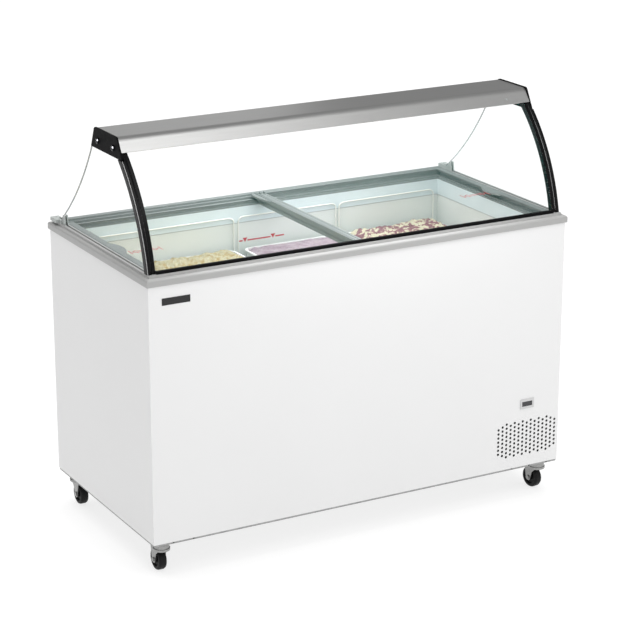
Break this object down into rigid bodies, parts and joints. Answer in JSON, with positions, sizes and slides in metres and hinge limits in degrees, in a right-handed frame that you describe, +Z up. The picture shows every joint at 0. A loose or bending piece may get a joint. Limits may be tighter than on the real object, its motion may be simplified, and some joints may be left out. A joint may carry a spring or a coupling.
{
  "type": "ice cream dipping cabinet",
  "caption": "Insulated chest on swivel castors with sliding glass lids under a curved glass canopy, for scooping ice cream from rows of tubs.",
  "frame": {"origin": "on the floor, below the middle of the cabinet", "axes": "+X along the cabinet to the right of a customer at the front, +Y to the back, +Z up; the curved glass and the grille face -Y"},
  "size_m": [1.337, 0.67, 1.1945],
  "materials": {
    "white_steel": "gloss",
    "zinc_steel": "satin",
    "foam": "matte",
    "liner_white": "satin",
    "trim_grey": "satin",
    "lid_grey": "satin",
    "clear_glass": "polished",
    "cover_aluminium": "satin",
    "black_plastic": "satin",
    "screw_chrome": "polished",
    "lamp_white": "satin",
    "bracket_grey": "satin",
    "rack_white": "satin",
    "tub_white": "satin",
    "ice_cream": "matte",
    "plate_black": "gloss",
    "bezel_grey": "satin",
    "screen_dark": "gloss",
    "wheel_rubber": "satin",
    "machine_black": "satin",
    "fin_aluminium": "satin"
  },
  "bodies": {
    "root": {"front_panel": "white_steel", "side_panel_left": "white_steel", "side_panel_right": "white_steel", "rear_panel": "white_steel", "base_tray": "zinc_steel", "castor_plates": "zinc_steel", "foam_insulation": "foam", "inner_liner": "liner_white", "liner_collar": "liner_white", "trim_rail_front": "trim_grey", "trim_rail_right": "trim_grey", "trim_rail_rear": "trim_grey", "trim_rail_left": "trim_grey", "front_curved_glass": "clear_glass", "side_glass_left": "clear_glass", "side_glass_right": "clear_glass", "header_cover": "cover_aluminium", "edge_post_left": "black_plastic", "edge_post_right": "black_plastic", "glass_foot_strip": "black_plastic", "header_cap_left": "black_plastic", "header_cap_right": "black_plastic", "power_inlet": "black_plastic", "header_screws": "screw_chrome", "header_lamp": "lamp_white", "rear_bracket_left": "bracket_grey", "rear_bracket_right": "bracket_grey", "tub_racks": "rack_white", "tubs": "tub_white", "ice_cream": "ice_cream", "name_plate": "plate_black", "thermometer_bezel": "bezel_grey", "thermometer_screen": "screen_dark", "compressor": "machine_black", "fan_motor": "machine_black", "condenser": "fin_aluminium"},
    "left_lid": {"left_lid_glass": "clear_glass", "left_lid_inner_end": "lid_grey", "left_lid_outer_end": "lid_grey", "left_lid_runners": "lid_grey"},
    "right_lid": {"right_lid_glass": "clear_glass", "right_lid_inner_end": "lid_grey", "right_lid_outer_end": "lid_grey", "right_lid_runners": "lid_grey"},
    "fan": {"fan_blades": "black_plastic"},
    "lamp_rocker": {"lamp_switch": "black_plastic"},
    "fork_front_left": {"castor_fork_front_left": "zinc_steel", "castor_axle_front_left": "zinc_steel"},
    "wheel_front_left": {"castor_wheel_front_left": "wheel_rubber"},
    "pedal_front_left": {"brake_pedal_front_left": "black_plastic"},
    "fork_front_right": {"castor_fork_front_right": "zinc_steel", "castor_axle_front_right": "zinc_steel"},
    "wheel_front_right": {"castor_wheel_front_right": "wheel_rubber"},
    "pedal_front_right": {"brake_pedal_front_right": "black_plastic"},
    "fork_rear_left": {"castor_fork_rear_left": "zinc_steel", "castor_axle_rear_left": "zinc_steel"},
    "wheel_rear_left": {"castor_wheel_rear_left": "wheel_rubber"},
    "fork_rear_right": {"castor_fork_rear_right": "zinc_steel", "castor_axle_rear_right": "zinc_steel"},
    "wheel_rear_right": {"castor_wheel_rear_right": "wheel_rubber"}
  },
  "joints": [
    {"name": "left_lid_slide", "type": "slide", "parent": "root", "child": "left_lid", "axis": [1, 0, 0], "range_m": [0, 0.6]},
    {"name": "right_lid_slide", "type": "slide", "parent": "root", "child": "right_lid", "axis": [1, 0, 0], "range_m": [-0.6, 0]},
    {"name": "swivel_front_left", "type": "hinge", "parent": "root", "child": "fork_front_left", "pos_m": [-0.622, -0.288, 0.08], "axis": [0, 0, 1], "continuous": true},
    {"name": "spin_front_left", "type": "hinge", "parent": "fork_front_left", "child": "wheel_front_left", "pos_m": [-0.622, -0.268, 0.032], "axis": [1, 0, 0], "continuous": true},
    {"name": "brake_front_left", "type": "hinge", "parent": "fork_front_left", "child": "pedal_front_left", "pos_m": [-0.622, -0.257, 0.072], "axis": [1, 0, 0], "range_deg": [-12, 0]},
    {"name": "swivel_front_right", "type": "hinge", "parent": "root", "child": "fork_front_right", "pos_m": [0.622, -0.288, 0.08], "axis": [0, 0, 1], "continuous": true},
    {"name": "spin_front_right", "type": "hinge", "parent": "fork_front_right", "child": "wheel_front_right", "pos_m": [0.61991, -0.26811, 0.032], "axis": [0.9945, 0.1045, 0], "continuous": true},
    {"name": "brake_front_right", "type": "hinge", "parent": "fork_front_right", "child": "pedal_front_right", "pos_m": [0.61876, -0.25717, 0.072], "axis": [0.9945, 0.1045, 0], "range_deg": [-12, 0]},
    {"name": "swivel_rear_left", "type": "hinge", "parent": "root", "child": "fork_rear_left", "pos_m": [-0.622, 0.288, 0.08], "axis": [0, 0, 1], "continuous": true},
    {"name": "spin_rear_left", "type": "hinge", "parent": "fork_rear_left", "child": "wheel_rear_left", "pos_m": [-0.622, 0.268, 0.032], "axis": [1, 0, 0], "continuous": true},
    {"name": "swivel_rear_right", "type": "hinge", "parent": "root", "child": "fork_rear_right", "pos_m": [0.622, 0.288, 0.08], "axis": [0, 0, 1], "continuous": true},
    {"name": "spin_rear_right", "type": "hinge", "parent": "fork_rear_right", "child": "wheel_rear_right", "pos_m": [0.622, 0.268, 0.032], "axis": [1, 0, 0], "continuous": true},
    {"name": "fan_spin", "type": "hinge", "parent": "root", "child": "fan", "pos_m": [0.54, -0.185, 0.205], "axis": [0, 1, 0], "continuous": true},
    {"name": "lamp_rocker_tilt", "type": "hinge", "parent": "root", "child": "lamp_rocker", "pos_m": [0.53, -0.042, 1.1725], "axis": [1, 0, 0], "range_deg": [-10, 10]}
  ]
}
